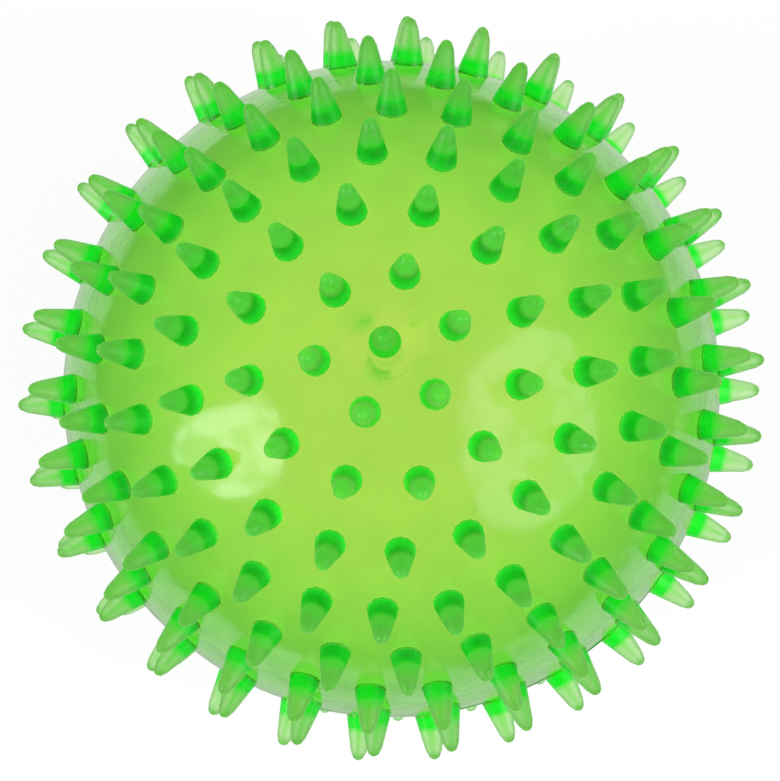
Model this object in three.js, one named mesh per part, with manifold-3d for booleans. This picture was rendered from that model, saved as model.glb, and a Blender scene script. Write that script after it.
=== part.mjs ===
// Inflatable spiky ball in soft vinyl: two welded half skins with moulded spikes, and an air valve at a pole.
// Millimetres, +Z up along the valve, origin at the centre of the ball.
import * as THREE from "three";
import { ConvexHull } from "three/addons/math/ConvexHull.js";
import { mergeVertices } from "three/addons/utils/BufferGeometryUtils.js";
import Module from "manifold-3d";

// Skin
const ballRadius = 79;
const skinWall = 1.6;

// Spikes
const spikeLength = 11;
const spikeBaseRadius = 3.7;
const spikeShoulderRadius = 2.0;
const spikeTipRadius = 0.9;
const spikeTipHeight = 2.6;

// Rings of spikes from the pole towards the seam: how many stand in each, and the turn of the first one
const ringStep = 11.8;
const rings = [
  { count: 1, turn: 0 },
  { count: 6, turn: 14 },
  { count: 12, turn: 14 },
  { count: 18, turn: 14 },
  { count: 24, turn: 14 },
  { count: 26, turn: 10.4 },
  { count: 30, turn: 2.6 },
  { count: 30, turn: 3.4 },
];

// Seam at the equator: a tongue on the upper half goes into a rebate in the lower half
const tongueLength = 3;
const seamClearance = 0.3;
const lowerHalfTurn = 4;

// Valve
const plugStemRadius = 2.2;
const plugStemLength = 19;
const plugStemTaper = 2;
const plugStemEndRadius = 1.6;
const plugClearance = 0.3;
const plugSeatClearance = 0.3;
const sleeveWall = 1.3;
const sleeveLength = 17;
const sleeveFlangeRadius = 8;
const sleeveFlangeThickness = 1.2;
const sleeveSeatClearance = 0.3;

// Facets
const skinSegments = 36;
const skinBands = 9;
const spikeSides = 6;
const valveSegments = 24;
const flangeBands = 3;
const weldDistance = 1e-4;

const vinyl = { color: 0x8fd43c, roughness: 0.28, metalness: 0 };

const wasm = await Module();
wasm.setup();

const poleAxis = new THREE.Vector3(0, 0, 1);
const boreRadius = plugStemRadius + plugClearance;
const innerRadius = ballRadius - skinWall;
const tipHeight = ballRadius + spikeLength;

// Height of the flat under a spike at the pole, whose corners lie on the ball
const baseHeight = Math.sqrt(ballRadius ** 2 - spikeBaseRadius ** 2);

// A point of a profile on a circle round the origin, given by its angle from the pole.
function onCircle(radius, angle) {
  return new THREE.Vector2(radius * Math.sin(angle), radius * Math.cos(angle));
}

// Points of an arc round the origin, from one angle off the pole to another.
function arc(radius, from, to, steps) {
  return Array.from({ length: steps + 1 }, (_, i) =>
    onCircle(radius, from + ((to - from) * i) / steps),
  );
}

// A profile of (radius, height) points turned round +Z.
function turned(points, segments) {
  return new THREE.LatheGeometry(points, segments).rotateX(Math.PI / 2);
}

// A closed geometry as a solid for joining and cutting.
function toSolid(geometry) {
  const bare = new THREE.BufferGeometry();
  bare.setAttribute("position", geometry.getAttribute("position"));
  bare.setIndex(geometry.index);
  const merged = mergeVertices(bare, weldDistance);
  const corners = merged.index.array;
  const kept = [];
  for (let i = 0; i < corners.length; i += 3) {
    const [a, b, c] = corners.slice(i, i + 3);
    if (a !== b && b !== c && c !== a) kept.push(a, b, c);
  }
  return new wasm.Manifold(
    new wasm.Mesh({
      numProp: 3,
      vertProperties: merged.attributes.position.array,
      triVerts: new Uint32Array(kept),
    }),
  );
}

function toGeometry(solid) {
  const { vertProperties, triVerts } = solid.getMesh();
  const geometry = new THREE.BufferGeometry();
  geometry.setAttribute("position", new THREE.BufferAttribute(vertProperties, 3));
  geometry.setIndex(new THREE.BufferAttribute(triVerts, 1));
  geometry.computeVertexNormals();
  return geometry;
}

function piece(name, geometry) {
  const mesh = new THREE.Mesh(geometry, new THREE.MeshStandardMaterial(vinyl));
  mesh.name = name;
  return mesh;
}

// The flank and blunt tip of a spike at the pole, as (radius, height) points from its base outwards.
function spikeOutline(bottom) {
  return [
    new THREE.Vector2(spikeBaseRadius, bottom),
    new THREE.Vector2(spikeShoulderRadius, tipHeight - spikeTipHeight),
    new THREE.Vector2(spikeTipRadius, tipHeight),
  ];
}

// The corners of a spike, ring by ring from its base to its tip, carried from the pole to its place.
function spikeCorners(place) {
  return spikeOutline(baseHeight).map(({ x: radius, y: height }) =>
    Array.from({ length: spikeSides }, (_, i) =>
      new THREE.Vector3(radius, 0, height)
        .applyAxisAngle(poleAxis, (2 * Math.PI * i) / spikeSides)
        .applyMatrix4(place),
    ),
  );
}

// The turns that carry a spike from the pole to each place in the rings.
function spikePlaces() {
  return rings.flatMap(({ count, turn }, ring) =>
    Array.from({ length: count }, (_, i) => {
      const fromPole = THREE.MathUtils.degToRad(ringStep * ring);
      const round = THREE.MathUtils.degToRad(turn + (360 * i) / count);
      return new THREE.Matrix4()
        .makeRotationZ(round)
        .multiply(new THREE.Matrix4().makeRotationY(fromPole));
    }),
  );
}

// Triangles that fill a convex polygon.
function fan(corners) {
  return corners.slice(2).flatMap((corner, i) => [corners[0], corners[i + 1], corner]);
}

// Triangles between two rings of as many corners.
function band(lower, upper) {
  return lower.flatMap((corner, i) => {
    const next = (i + 1) % lower.length;
    return [corner, lower[next], upper[next], corner, upper[next], upper[i]];
  });
}

// The corners of each face of the hull round some points.
function hullFaces(points) {
  return new ConvexHull().setFromPoints(points).faces.map((face) => {
    const corners = [];
    let edge = face.edge;
    do {
      corners.push(edge.head().point);
      edge = edge.next;
    } while (edge !== face.edge);
    return corners;
  });
}

// A full half ball with its spikes, pole on +Z. The face between the spikes joins their base corners.
// The first place is the pole, which can stay a bare flat seat.
function spikyHalfBall(hasPoleSpike) {
  const spikes = spikePlaces().map(spikeCorners);
  const rimHeight = seamClearance / 2;
  const rimRadius = Math.sqrt(ballRadius ** 2 - rimHeight ** 2);
  const rim = Array.from({ length: skinSegments }, (_, i) =>
    new THREE.Vector3(rimRadius, 0, rimHeight).applyAxisAngle(
      poleAxis,
      (2 * Math.PI * i) / skinSegments,
    ),
  );
  const standing = hasPoleSpike ? spikes : spikes.slice(1);
  const spikeAt = new Map(standing.flatMap((spike) => spike[0].map((corner) => [corner, spike])));
  const underSpike = (corners) => {
    const spike = spikeAt.get(corners[0]);
    return spike && corners.every((corner) => spikeAt.get(corner) === spike);
  };
  const faces = hullFaces([...rim, ...spikes.flatMap((spike) => spike[0])]);
  const triangles = [
    ...faces.filter((corners) => !underSpike(corners)).flatMap(fan),
    ...standing.flatMap(([base, shoulder, tip]) => [
      ...band(base, shoulder),
      ...band(shoulder, tip),
      ...fan(tip),
    ]),
  ];
  return toSolid(new THREE.BufferGeometry().setFromPoints(triangles));
}

// The hollow of a half ball: a dome over a straight mouth that runs down past the rim.
function hollow(mouthRadius, mouthTop, mouthBottom) {
  const domeStart = Math.acos(mouthTop / innerRadius);
  const dome = arc(innerRadius, domeStart, 0, skinBands);
  dome.at(-1).x = 0;
  const profile = [
    new THREE.Vector2(0, mouthBottom),
    new THREE.Vector2(mouthRadius, mouthBottom),
    new THREE.Vector2(mouthRadius, mouthTop),
    ...dome,
  ];
  return toSolid(turned(profile, skinSegments));
}

// A round bar along +Z between two heights.
function bar(radius, bottom, top, segments) {
  const length = top - bottom;
  return toSolid(
    new THREE.CylinderGeometry(radius, radius, length, segments)
      .rotateX(Math.PI / 2)
      .translate(0, 0, bottom + length / 2),
  );
}

const seamMiddle = ballRadius - skinWall / 2;

function upperHalfSkin() {
  const tongueRadius = seamMiddle - seamClearance / 2;
  const tongue = bar(tongueRadius, -tongueLength, skinWall, skinSegments);
  const bore = bar(boreRadius, ballRadius - 2 * skinWall, ballRadius + skinWall, valveSegments);
  const skin = spikyHalfBall(false)
    .add(tongue)
    .subtract(hollow(innerRadius, 0, -tongueLength - skinWall))
    .subtract(bore);
  return toGeometry(skin);
}

function lowerHalfSkin() {
  const lipRadius = seamMiddle + seamClearance / 2;
  const rebateTop = tongueLength + seamClearance;
  return toGeometry(spikyHalfBall(true).subtract(hollow(lipRadius, rebateTop, -skinWall)));
}

// A flanged tube under the skin: the flange follows the inner face, the tube hangs into the ball.
function valveSleeve() {
  const flangeTop = innerRadius - sleeveSeatClearance;
  const flangeUnder = flangeTop - sleeveFlangeThickness;
  const tubeRadius = boreRadius + sleeveWall;
  const tubeEnd = flangeTop - sleeveLength;
  const angleAt = (radius, sphere) => Math.asin(radius / sphere);
  const profile = [
    new THREE.Vector2(boreRadius, tubeEnd),
    new THREE.Vector2(tubeRadius, tubeEnd),
    ...arc(
      flangeUnder,
      angleAt(tubeRadius, flangeUnder),
      angleAt(sleeveFlangeRadius, flangeUnder),
      flangeBands,
    ),
    ...arc(
      flangeTop,
      angleAt(sleeveFlangeRadius, flangeTop),
      angleAt(boreRadius, flangeTop),
      flangeBands,
    ),
    new THREE.Vector2(boreRadius, tubeEnd),
  ];
  return toGeometry(toSolid(turned(profile, valveSegments)));
}

// A stopper whose head is a spike like the others and whose stem goes down the sleeve.
function valvePlug() {
  const seat = baseHeight + plugSeatClearance;
  const stemEnd = seat - plugStemLength;
  const profile = [
    new THREE.Vector2(0, stemEnd),
    new THREE.Vector2(plugStemEndRadius, stemEnd),
    new THREE.Vector2(plugStemRadius, stemEnd + plugStemTaper),
    new THREE.Vector2(plugStemRadius, seat),
    ...spikeOutline(seat),
    new THREE.Vector2(0, tipHeight),
  ];
  return toGeometry(toSolid(turned(profile, valveSegments)));
}

const ball = new THREE.Group();
ball.name = "spiky_ball";
ball.add(piece("upper_half_skin", upperHalfSkin()));
const lowerHalf = piece("lower_half_skin", lowerHalfSkin());
lowerHalf.rotation.set(Math.PI, 0, THREE.MathUtils.degToRad(lowerHalfTurn), "ZYX");
ball.add(lowerHalf);
ball.add(piece("valve_sleeve", valveSleeve()));
ball.add(piece("valve_plug", valvePlug()));

export default ball;
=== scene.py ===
from math import asin, cos, pi, radians, sin, sqrt

import bmesh
import bpy
from mathutils import Matrix, Vector


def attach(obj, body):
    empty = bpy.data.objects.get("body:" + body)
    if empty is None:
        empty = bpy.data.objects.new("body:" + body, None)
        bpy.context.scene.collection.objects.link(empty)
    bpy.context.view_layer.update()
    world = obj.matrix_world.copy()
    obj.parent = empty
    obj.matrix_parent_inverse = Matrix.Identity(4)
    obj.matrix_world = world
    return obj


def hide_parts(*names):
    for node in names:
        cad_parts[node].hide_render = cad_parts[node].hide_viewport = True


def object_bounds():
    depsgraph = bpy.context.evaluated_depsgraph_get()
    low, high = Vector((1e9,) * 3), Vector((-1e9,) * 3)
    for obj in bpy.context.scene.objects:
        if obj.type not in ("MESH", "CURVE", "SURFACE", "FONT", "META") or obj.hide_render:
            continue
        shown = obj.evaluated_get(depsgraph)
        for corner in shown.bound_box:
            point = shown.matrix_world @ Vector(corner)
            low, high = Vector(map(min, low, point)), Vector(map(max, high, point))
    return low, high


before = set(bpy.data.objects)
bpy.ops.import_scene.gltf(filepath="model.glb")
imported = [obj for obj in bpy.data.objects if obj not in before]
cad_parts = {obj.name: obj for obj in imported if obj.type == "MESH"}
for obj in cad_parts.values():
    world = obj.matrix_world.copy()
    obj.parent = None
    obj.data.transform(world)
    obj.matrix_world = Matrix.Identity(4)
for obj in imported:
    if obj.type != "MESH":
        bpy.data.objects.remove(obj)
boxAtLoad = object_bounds()
print("frame loaded:", sorted(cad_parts))

mm = 0.001  # sizes of the ball are in millimetres, those of the studio in metres


# Small helpers for meshes and node trees

def meshFrom(name, corners, faces):
    mesh = bpy.data.meshes.new(name)
    mesh.from_pydata([tuple(c * mm for c in corner) for corner in corners], [], faces)
    mesh.validate()
    return mesh


def placed(name, data):
    made = bpy.data.objects.new(name, data)
    bpy.context.scene.collection.objects.link(made)
    return made


def circlePoint(reach, i, count):
    turn = 2 * pi * i / count
    return reach * cos(turn), reach * sin(turn)


def latheMesh(name, outline, segments):
    # outline is a closed loop of (radius, height), run so that its outside is on the right
    corners, rows, faces = [], [], []
    for reach, height in outline:
        if reach == 0:
            rows.append([len(corners)] * segments)
            corners.append((0, 0, height))
            continue
        rows.append(range(len(corners), len(corners) + segments))
        corners += [(*circlePoint(reach, i, segments), height) for i in range(segments)]
    for low, high in zip(rows, rows[1:] + rows[:1]):
        for i in range(segments):
            j = (i + 1) % segments
            face = list(dict.fromkeys((low[i], low[j], high[j], high[i])))
            if len(face) > 2:
                faces.append(face)
    return meshFrom(name, corners, faces)


def arc(reach, start, end, steps):
    # points round the ball's centre, by angle from the pole
    turns = [start + (end - start) * i / steps for i in range(steps + 1)]
    return [(reach * sin(t), reach * cos(t)) for t in turns]


def cleaned(mesh, weldGap):
    # merges doubles and drops slivers left where the spikes meet the skin
    work = bmesh.new()
    work.from_mesh(mesh)
    bmesh.ops.remove_doubles(work, verts=work.verts, dist=weldGap * mm)
    bmesh.ops.dissolve_degenerate(work, edges=work.edges, dist=weldGap * mm)
    work.to_mesh(mesh)
    work.free()


def smoothed(mesh, sharpFrom):
    mesh.shade_smooth()
    mesh.set_sharp_from_angle(angle=radians(sharpFrom))


class Tree:
    def __init__(self, tree):
        self.tree = tree

    def node(self, kind, settings=None, **inputs):
        # an input is named, or given by its place as _0, _1 and so on
        made = self.tree.nodes.new(kind)
        for key, value in (settings or {}).items():
            setattr(made, key, value)
        for key, value in inputs.items():
            self.feed(made.inputs[int(key[1:]) if key[0] == "_" else key], value)
        return made

    def feed(self, socket, value):
        if isinstance(value, bpy.types.NodeSocket):
            self.tree.links.new(value, socket)
        else:
            socket.default_value = value

    def math(self, operation, a, b=0.0):
        return self.node("ShaderNodeMath", {"operation": operation}, _0=a, _1=b).outputs[0]

    def vector(self, operation, result, **inputs):
        return self.node("ShaderNodeVectorMath", {"operation": operation}, **inputs).outputs[result]

    def noise(self, place, scale, detail):
        return self.node("ShaderNodeTexNoise", Vector=place, Scale=scale, Detail=detail).outputs[0]

    def ramp(self, value, start, end, low=0.0, high=1.0, kind="LINEAR"):
        return self.node(
            "ShaderNodeMapRange", {"interpolation_type": kind},
            Value=value, _1=start, _2=end, _3=low, _4=high,
        ).outputs[0]

    def blend(self, share, first, second):
        # a mix node has its two colours at places 6 and 7
        mix = self.node("ShaderNodeMix", {"data_type": "RGBA"}, _0=share, _6=first, _7=second)
        return mix.outputs[2]


# Vinyl finishes. Places on the ball are told by the distance from its centre, in millimetres.

skinVinyl = {
    "insideAt": 77.6, "outsideAt": 78.7, "spikesFrom": 79.3, "spikesFull": 79.7,
    "skinTint": ((0.91, 0.99, 0.43, 1), (0.94, 1.0, 0.465, 1)),  # thin yellowish skin, least and most
    "rimShadeTint": (0.69, 1.0, 0.41, 1), "rimShadeHeights": (74, 32),  # painted shade: the skin greener from this height down to that one, for the longer paths seen at the ball's rim
    "spikeTint": ((0.95, 0.96, 0.9, 1), (0.98, 0.98, 0.94, 1)),
    "poleSpikeShade": (0.22, 0.95, 0.45, 1), "rootShadeLift": 1.4,  # painted shade: deeper green flanks and a taller painted root band on spikes near a pole
    "rootShadeTint": (0.02, 0.96, 0.05, 1), "rootEnds": (82.0, 83.4),  # painted shade: deeper green at the roots of the spikes
    "mottleScale": 90, "mottleDetail": 2.0,
    "dye": (0.4, 0.97, 0.0, 1), "dyeDensity": 130,  # what the vinyl lets through, and how much per metre
    "ior": 1.53,
    "gloss": 0.15, "satin": 0.45, "haze": 0.33,  # roughness of the skin, of the spikes and of the inside
    "clearHaze": 0.06, "clearEnds": (6, 11),  # clearer round the valve
    "wearScale": 35.0, "wearDetail": 3.0, "wearSwing": 0.06,
    "scuffScale": 75, "scuffDetail": 6.0, "scuffAt": (0.43, 0.54),
    "scuffed": (0.3, 0.3, 0.3, 1), "polished": (1.0, 1.0, 1.0, 1),  # shine of scuffed and unworn patches
    "peelScale": 170, "peelDetail": 3.0, "peel": 0.3, "peelDepth": 0.35,
    "sheen": 0.25, "sheenSpread": 0.6, "sheenTint": (0.55, 1.0, 0.3, 1),  # soft bloom on the flanks
    "glow": (0.17, 0.05), "paintedGlowTop": 84,  # painted glow: emission on the spikes, at the roots and at this height, standing in for light gathered and scattered in the vinyl
    # colours of the painted glow, at the roots and on the flanks
    "paintedRootGlow": (0.0, 1.0, 0.06, 1), "paintedFlankGlow": (0.6, 1.0, 0.32, 1),
}
plugVinyl = dict(skinVinyl, dyeDensity=140, haze=0.2, insideAt=70, outsideAt=79)
sleeveVinyl = dict(
    plugVinyl, skinTint=((0.97, 0.98, 0.95, 1), (0.99, 1.0, 0.98, 1)), rimShadeTint=(0.98, 0.99, 0.96, 1),
    dyeDensity=5, ior=1.3, gloss=0.05, haze=0.05,
)


def vinylMaterial(name, look):
    material = bpy.data.materials.new(name)
    material.use_nodes = True
    tree = Tree(material.node_tree)
    sockets = material.node_tree.nodes["Principled BSDF"].inputs
    output = material.node_tree.nodes["Material Output"]
    place = tree.node("ShaderNodeTexCoord").outputs["Object"]

    # on a spike or not, how near to the seam for the painted shade, and past the root of the spike or not
    reach = tree.vector("LENGTH", "Value", _0=place)
    onSpike = tree.ramp(reach, look["spikesFrom"] * mm, look["spikesFull"] * mm)
    height = tree.math("ABSOLUTE", tree.node("ShaderNodeSeparateXYZ", Vector=place).outputs["Z"])
    rimShadeShare = tree.ramp(height, *(level * mm for level in look["rimShadeHeights"]))
    # the painted root shade reaches higher near a pole
    rootShadeLift = tree.ramp(rimShadeShare, 0.0, 1.0, look["rootShadeLift"] * mm, 0.0)
    upSpike = tree.ramp(tree.math("SUBTRACT", reach, rootShadeLift), *(end * mm for end in look["rootEnds"]))

    # tint of the skin and of the spikes, with faint mottling of the melt and painted shade
    mottle = tree.noise(place, look["mottleScale"], look["mottleDetail"])
    # painted shade: the skin greener towards the seam
    skin = tree.blend(rimShadeShare, tree.blend(mottle, *look["skinTint"]), look["rimShadeTint"])
    # painted shade: spike flanks deeper green near a pole
    flank = tree.blend(rimShadeShare, look["poleSpikeShade"], tree.blend(mottle, *look["spikeTint"]))
    # painted shade: deeper green band at the roots of the spikes
    spike = tree.blend(upSpike, look["rootShadeTint"], flank)
    tree.feed(sockets["Base Color"], tree.blend(onSpike, skin, spike))

    # glossy outside, hazy inside but for a clear patch at the valve, satin spikes, a little wear
    fromValve = tree.vector("DISTANCE", "Value", _0=place, _1=(0.0, 0.0, look["insideAt"] * mm))
    clearEnds = (end * mm for end in look["clearEnds"])
    haze = tree.ramp(fromValve, *clearEnds, look["clearHaze"], look["haze"])
    outward = tree.ramp(reach, look["insideAt"] * mm, look["outsideAt"] * mm, haze, look["gloss"])
    satin = tree.math("MULTIPLY", onSpike, look["satin"] - look["gloss"])
    wear = tree.math("SUBTRACT", tree.noise(place, look["wearScale"], look["wearDetail"]), 0.5)
    rub = tree.math("MULTIPLY", wear, look["wearSwing"])
    tree.feed(sockets["Roughness"], tree.math("ADD", tree.math("ADD", outward, satin), rub))

    # scuffed patches that shine less
    scuff = tree.noise(place, look["scuffScale"], look["scuffDetail"])
    shiny = tree.ramp(scuff, *look["scuffAt"])
    tree.feed(sockets["Specular Tint"], tree.blend(shiny, look["scuffed"], look["polished"]))

    # soft peel on the surface
    peel = tree.noise(place, look["peelScale"], look["peelDetail"])
    bump = tree.node("ShaderNodeBump", Strength=look["peel"], Distance=look["peelDepth"] * mm, Height=peel)
    tree.feed(sockets["Normal"], bump.outputs[0])

    # sheen bloom of the spikes, and painted glow: emission standing in for light scattered in the vinyl,
    # strongest at the roots
    tree.feed(sockets["Sheen Weight"], tree.math("MULTIPLY", upSpike, look["sheen"]))
    sockets["Sheen Roughness"].default_value = look["sheenSpread"]
    sockets["Sheen Tint"].default_value = look["sheenTint"]
    tree.feed(sockets["Emission Color"], tree.blend(upSpike, look["paintedRootGlow"], look["paintedFlankGlow"]))
    paintedGlowFade = tree.ramp(reach, look["spikesFrom"] * mm, look["paintedGlowTop"] * mm, *look["glow"])
    tree.feed(sockets["Emission Strength"], tree.math("MULTIPLY", onSpike, paintedGlowFade))

    # see-through and dyed all through
    sockets["Transmission Weight"].default_value = 1.0
    sockets["IOR"].default_value = look["ior"]
    dye = tree.node("ShaderNodeVolumeAbsorption", Color=look["dye"], Density=float(look["dyeDensity"]))
    tree.feed(output.inputs["Volume"], dye.outputs[0])
    return material


skinMaterial = vinylMaterial("limeVinyl", skinVinyl)
plugMaterial = vinylMaterial("plugVinyl", plugVinyl)
sleeveMaterial = vinylMaterial("clearVinyl", sleeveVinyl)
print("vinyl finishes made")


# Spikes, in rings round each pole

spikeLook = {
    "length": 11.0, "baseRadius": 3.7, "taper": 0.58, "tipRoundness": 14.0,
    "foot": 0.8,  # how far the root sits in the skin
    "sides": 12, "bandsAt": (0.45, 0.8, 0.95, 0.993),
    "ringStep": 11.8,
    "rings": [(6, 14), (12, 14), (18, 14), (24, 14), (26, 10.4), (30, 2.6), (30, 3.4)],  # number, turn
}
ball = {
    "radius": 79.0, "wall": 1.6, "segments": 144, "bands": 44, "sharpFrom": 40, "weldGap": 0.02,
    # soft waves in the skin: height, number per metre, and how far in the outer face is looked for
    "uneven": 0.8, "unevenScale": 75.0, "unevenDetail": 1.0, "outsideDepth": 0.1,
}


def spikeOutline(look):
    # flank and rounded tip, as shares of the base radius and the length
    outline = []
    for t in look["bandsAt"]:
        flank = (1 - look["taper"] * t) * sqrt(1 - t ** look["tipRoundness"])
        outline.append((flank, t))
    return outline


def unitSpike(look):
    foot = look["foot"] / look["length"]
    outline = [(0, -foot), (1 + look["taper"] * foot, -foot)] + spikeOutline(look) + [(0, 1)]
    return latheMesh("spike", [(r / mm, h / mm) for r, h in outline], look["sides"])


def spikyTree(look, hasPoleSpike, spike, material):
    group = bpy.data.node_groups.new("spikyHalf", "GeometryNodeTree")
    face = group.interface
    face.new_socket("Skin", in_out="INPUT", socket_type="NodeSocketGeometry")
    for label in ("Spike length", "Base radius", "Ball radius", "Uneven", "Uneven scale"):
        face.new_socket(label, in_out="INPUT", socket_type="NodeSocketFloat")
    face.new_socket("Spiky skin", in_out="OUTPUT", socket_type="NodeSocketGeometry")
    tree = Tree(group)
    given = tree.node("NodeGroupInput").outputs
    spot = tree.node("GeometryNodeInputPosition").outputs[0]

    # soft waves, only where the skin faces out
    swing = tree.math("SUBTRACT", tree.noise(spot, given["Uneven scale"], ball["unevenDetail"]), 0.5)
    reach = tree.vector("LENGTH", "Value", _0=spot)
    outsideFrom = tree.math("SUBTRACT", given["Ball radius"], ball["outsideDepth"] * mm)
    isOutside = tree.math("GREATER_THAN", reach, outsideFrom)
    height = tree.math("MULTIPLY", tree.math("MULTIPLY", swing, given["Uneven"]), isOutside)
    outwardWay = tree.vector("NORMALIZE", "Vector", _0=spot)
    shift = tree.vector("SCALE", "Vector", _0=outwardWay, Scale=height)
    skin = tree.node("GeometryNodeSetPosition", Geometry=given["Skin"], Offset=shift).outputs[0]

    # a circle of roots for each ring
    roots = tree.node("GeometryNodeJoinGeometry")
    for ring, (count, turn) in enumerate(look["rings"], 1):
        fromPole = radians(look["ringStep"] * ring)
        ringRadius = tree.math("MULTIPLY", given["Ball radius"], sin(fromPole))
        ringHeight = tree.math("MULTIPLY", given["Ball radius"], cos(fromPole))
        circle = tree.node("GeometryNodeMeshCircle", Vertices=count, Radius=ringRadius).outputs[0]
        lift = tree.node("ShaderNodeCombineXYZ", Z=ringHeight).outputs[0]
        lifted = tree.node(
            "GeometryNodeTransform", Geometry=circle, Translation=lift, Rotation=(0.0, 0.0, radians(turn)),
        ).outputs[0]
        group.links.new(lifted, roots.inputs[0])
    if hasPoleSpike:
        top = tree.node("ShaderNodeCombineXYZ", Z=given["Ball radius"]).outputs[0]
        single = tree.node("GeometryNodeMeshLine", Count=1)
        tree.feed(single.inputs["Start Location"], top)
        group.links.new(single.outputs[0], roots.inputs[0])

    # a spike on each root, welded to the skin
    shape = tree.node("GeometryNodeObjectInfo", Object=spike).outputs["Geometry"]
    size = tree.node(
        "ShaderNodeCombineXYZ", X=given["Base radius"], Y=given["Base radius"], Z=given["Spike length"],
    ).outputs[0]
    outward = tree.node("FunctionNodeAlignRotationToVector", {"axis": "Z"}, Vector=spot).outputs[0]
    stood = tree.node(
        "GeometryNodeInstanceOnPoints",
        Points=roots.outputs[0], Instance=shape, Rotation=outward, Scale=size,
    ).outputs[0]
    spikes = tree.node("GeometryNodeRealizeInstances", Geometry=stood).outputs[0]
    welded = tree.node("GeometryNodeMeshBoolean", {"operation": "UNION", "solver": "MANIFOLD"})
    group.links.new(skin, welded.inputs["Mesh 2"])
    group.links.new(spikes, welded.inputs["Mesh 2"])
    loose = tree.node("GeometryNodeRealizeInstances", Geometry=welded.outputs[0]).outputs[0]
    finished = tree.node("GeometryNodeSetMaterial", Geometry=loose, Material=material).outputs[0]
    tree.node("NodeGroupOutput", _0=finished)
    return group


def spikyPiece(name, skinMesh, hasPoleSpike):
    piece = placed(name, skinMesh)
    spike = placed("spikeShape", unitSpike(spikeLook))
    group = spikyTree(spikeLook, hasPoleSpike, spike, skinMaterial)
    modifier = piece.modifiers.new("spikes", "NODES")
    modifier.node_group = group
    sizes = {
        "Spike length": spikeLook["length"] * mm, "Base radius": spikeLook["baseRadius"] * mm,
        "Ball radius": ball["radius"] * mm,
        "Uneven": ball["uneven"] * mm, "Uneven scale": ball["unevenScale"],
    }
    for socket in group.interface.items_tree:
        if socket.name in sizes:
            modifier[socket.identifier] = sizes[socket.name]
    grown = bpy.data.meshes.new_from_object(
        piece.evaluated_get(bpy.context.evaluated_depsgraph_get())
    )
    piece.modifiers.remove(modifier)
    piece.data = grown
    grown.name = name
    bpy.data.objects.remove(spike)
    cleaned(grown, ball["weldGap"])
    smoothed(grown, ball["sharpFrom"])
    print(name, "has", len(grown.polygons), "faces")
    return piece


# Half skins with the lapped seam at the equator, and the hole for the valve

seam = {"tongue": 3.0, "clearance": 0.3, "lowerTurn": 4.0}
valve = {
    "boreRadius": 2.5, "seatClearance": 0.3, "segments": 48,
    "stemRadius": 2.2, "stemEndRadius": 1.6, "stemLength": 19.0, "stemTaper": 2.0,
    "sleeveWall": 1.3, "sleeveLength": 17.0,
    "flangeRadius": 8.0, "flangeThickness": 1.2, "underSteps": 6, "topSteps": 8,
}
outerRadius = ball["radius"]
innerRadius = outerRadius - ball["wall"]
seamMiddle = outerRadius - ball["wall"] / 2
rimHeight = seam["clearance"] / 2
rimAngle = pi / 2 - asin(rimHeight / outerRadius)


def upperSkinMesh():
    bore = valve["boreRadius"]
    tongue = seamMiddle - seam["clearance"] / 2
    outline = arc(outerRadius, rimAngle, asin(bore / outerRadius), ball["bands"])
    outline += arc(innerRadius, asin(bore / innerRadius), pi / 2, ball["bands"])
    outline += [(innerRadius, -seam["tongue"]), (tongue, -seam["tongue"]), (tongue, rimHeight)]
    return latheMesh("upperSkin", outline, ball["segments"])


def lowerSkinMesh():
    lip = seamMiddle + seam["clearance"] / 2
    step = seam["tongue"] + seam["clearance"]
    outside = arc(outerRadius, rimAngle, 0, ball["bands"])
    outside[-1] = (0, outerRadius)
    inside = arc(innerRadius, 0, pi / 2 - asin(step / innerRadius), ball["bands"])
    inside[0] = (0, innerRadius)
    outline = outside + inside + [(lip, step), (lip, rimHeight)]
    return latheMesh("lowerSkin", outline, ball["segments"])


upperHalf = spikyPiece("upperHalfSkin", upperSkinMesh(), False)
lowerHalf = spikyPiece("lowerHalfSkin", lowerSkinMesh(), True)
turnedOver = Matrix.Rotation(pi, 4, "X")
lowerHalf.data.transform(Matrix.Rotation(radians(seam["lowerTurn"]), 4, "Z") @ turnedOver)
print("half skins grown")


# Valve

def sleeveMesh():
    bore, flange = valve["boreRadius"], valve["flangeRadius"]
    top = innerRadius - valve["seatClearance"]
    under = top - valve["flangeThickness"]
    tube = bore + valve["sleeveWall"]
    end = top - valve["sleeveLength"]
    outline = [(bore, end), (tube, end)]
    outline += arc(under, asin(tube / under), asin(flange / under), valve["underSteps"])
    outline += arc(top, asin(flange / top), asin(bore / top), valve["topSteps"])
    return latheMesh("valveSleeve", outline, valve["segments"])


def plugMesh():
    base, stem = spikeLook["baseRadius"], valve["stemRadius"]
    seat = sqrt(outerRadius ** 2 - base ** 2) + valve["seatClearance"]
    end = seat - valve["stemLength"]
    head = outerRadius + spikeLook["length"] - seat
    outline = [(0, end), (valve["stemEndRadius"], end), (stem, end + valve["stemTaper"]), (stem, seat)]
    outline += [(base * share, seat + head * t) for share, t in [(1, 0)] + spikeOutline(spikeLook)]
    outline.append((0, seat + head))
    return latheMesh("valvePlug", outline, valve["segments"])


valveSleeve = placed("valveSleeve", sleeveMesh())
valvePlug = placed("valvePlug", plugMesh())
for piece, material in ((valveSleeve, sleeveMaterial), (valvePlug, plugMaterial)):
    piece.data.materials.append(material)
    smoothed(piece.data, ball["sharpFrom"])
print("valve made")

for piece, body, node, slot in (
    (upperHalf, "ball", "upper_half_skin", "skin_vinyl"),
    (lowerHalf, "ball", "lower_half_skin", "skin_vinyl"),
    (valveSleeve, "ball", "valve_sleeve", "valve_vinyl"),
    (valvePlug, "plug", "valve_plug", "valve_vinyl"),
):
    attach(piece, body)
    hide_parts(node)


# Studio: a small white table under the ball, two soft lamps, a pale room

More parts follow.
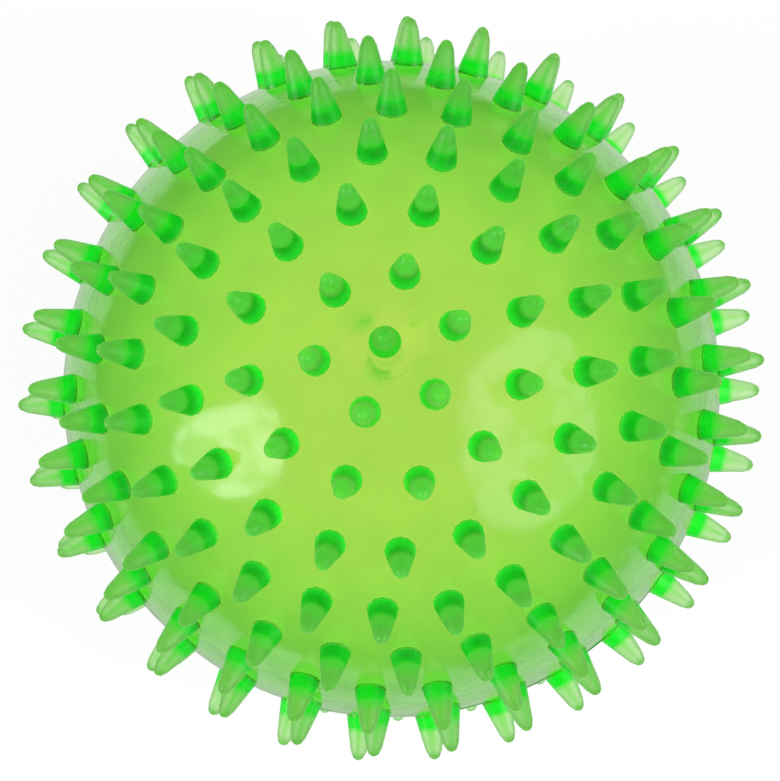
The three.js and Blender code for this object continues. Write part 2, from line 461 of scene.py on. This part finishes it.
studio = {
    "tableRadius": 0.266, "tableSides": 96, "tablePaint": (0.18, 0.18, 0.18, 1),
    "tableSeen": 0.85, "tableThrough": 0.75,  # glow for the camera and through the vinyl
    "tableGlossShadowed": (0.32, 0.85), "paintedShadowReach": (0.06, 0.17),  # mirrored glow with a painted shadow: dimmer under the ball, brighter far from it
    "roomSeen": 1.0, "roomThrough": 0.54, "roomGloss": 0.1, "roomFill": 0.5, "roomColour": (1, 1, 1, 1),
    "lamps": [  # bearing and tilt as the camera sees them, in degrees, then width, height and power
        ("windowLamp", -59.3, -17.1, 0.85, 0.65, 6.7),
        ("softLamp", 49.4, -13.1, 1.12, 1.5, 9.0),
    ],
    "lampDistance": 1.2,
    "bounces": 20, "mirrorBounces": 10,  # light crosses many walls of vinyl before it is lost
}
camera = {
    "lens": 211.6, "sensor": 36.0, "clip": (0.01, 20),
    "distance": 1.106, "toCamera": (0.0195, -0.1318, 0.991), "aim": (-0.00041, -0.00043),
}

northward = Vector((0, 1, 0))
back = Vector(camera["toCamera"]).normalized()
right = northward.cross(back).normalized()
up = back.cross(right)


def facing(spot, target, upHint):
    away = (spot - target).normalized()
    side = upHint.cross(away).normalized()
    turn = Matrix((side, away.cross(side), away)).transposed().to_4x4()
    return Matrix.Translation(spot) @ turn


def mirroredShare(tree, rays):
    # a ray bent through the vinyl counts as glossy too, so it is taken out here
    notThrough = tree.math("SUBTRACT", 1.0, rays["Is Transmission Ray"])
    return tree.math("MULTIPLY", rays["Is Glossy Ray"], notThrough)


def tableMaterial():
    material = bpy.data.materials.new("whiteTable")
    material.use_nodes = True
    nodes = material.node_tree.nodes
    nodes.remove(nodes["Principled BSDF"])
    tree = Tree(material.node_tree)
    rays = tree.node("ShaderNodeLightPath").outputs
    spot = tree.node("ShaderNodeTexCoord").outputs["Object"]
    flat = tree.vector("MULTIPLY", "Vector", _0=spot, _1=(1, 1, 0))
    fromMiddle = tree.vector("LENGTH", "Value", _0=flat)
    # painted shadow of the ball in the table's mirrored glow
    mirrored = tree.ramp(fromMiddle, *studio["paintedShadowReach"], *studio["tableGlossShadowed"], kind="SMOOTHSTEP")
    seen = tree.math("MULTIPLY", rays["Is Camera Ray"], studio["tableSeen"])
    through = tree.math("MULTIPLY", rays["Is Transmission Ray"], studio["tableThrough"])
    gloss = tree.math("MULTIPLY", mirroredShare(tree, rays), mirrored)
    strength = tree.math("ADD", seen, tree.math("ADD", through, gloss))
    glow = tree.node("ShaderNodeEmission", Strength=strength)
    paint = tree.node("ShaderNodeBsdfDiffuse", Color=studio["tablePaint"])
    both = tree.node("ShaderNodeAddShader", _0=glow.outputs[0], _1=paint.outputs[0])
    tree.feed(nodes["Material Output"].inputs["Surface"], both.outputs[0])
    return material


def makeTable():
    rim, reach = studio["tableSides"], studio["tableRadius"] / mm
    corners = [(0, 0, 0)] + [(*circlePoint(reach, i, rim), 0) for i in range(rim)]
    faces = [(0, i + 1, (i + 1) % rim + 1) for i in range(rim)]
    mesh = meshFrom("table", corners, faces)
    mesh.transform(Matrix.Translation((0, 0, boxAtLoad[0].z)))
    mesh.materials.append(tableMaterial())
    placed("table", mesh)


def makeRoom():
    world = bpy.data.worlds.new("paleRoom")
    world.use_nodes = True
    tree = Tree(world.node_tree)
    rays = tree.node("ShaderNodeLightPath").outputs
    strength = studio["roomFill"]
    for share, level in (
        (rays["Is Camera Ray"], "roomSeen"), (rays["Is Transmission Ray"], "roomThrough"),
        (mirroredShare(tree, rays), "roomGloss"),
    ):
        step = tree.math("MULTIPLY", share, studio[level] - studio["roomFill"])
        strength = tree.math("ADD", step, strength)
    shine = world.node_tree.nodes["Background"]
    shine.inputs["Color"].default_value = studio["roomColour"]
    tree.feed(shine.inputs["Strength"], strength)
    bpy.context.scene.world = world


def makeLamps():
    for name, bearing, tilt, width, height, power in studio["lamps"]:
        lamp = bpy.data.lights.new(name, "AREA")
        lamp.shape, lamp.size, lamp.size_y, lamp.energy = "ELLIPSE", width, height, power
        side, lift = radians(bearing), radians(tilt)
        toLamp = back * (cos(side) * cos(lift)) + right * (sin(side) * cos(lift)) + up * sin(lift)
        stand = placed(name, lamp)
        stand.visible_transmission = False
        stand.matrix_world = facing(toLamp * studio["lampDistance"], Vector((0, 0, 0)), up)


def makeCamera():
    eye = bpy.data.cameras.new("camera")
    eye.lens, eye.sensor_width, eye.sensor_fit = camera["lens"], camera["sensor"], "HORIZONTAL"
    eye.clip_start, eye.clip_end = camera["clip"]
    stand = placed("camera", eye)
    aim = right * camera["aim"][0] + up * camera["aim"][1]
    stand.matrix_world = facing(aim + back * camera["distance"], aim, northward)
    bpy.context.scene.camera = stand


makeTable()
makeRoom()
makeLamps()
makeCamera()
scene = bpy.context.scene
scene.view_settings.view_transform = "Standard"
scene.cycles.max_bounces = studio["bounces"]
scene.cycles.transmission_bounces = studio["bounces"]
scene.cycles.glossy_bounces = studio["mirrorBounces"]
print("studio set")
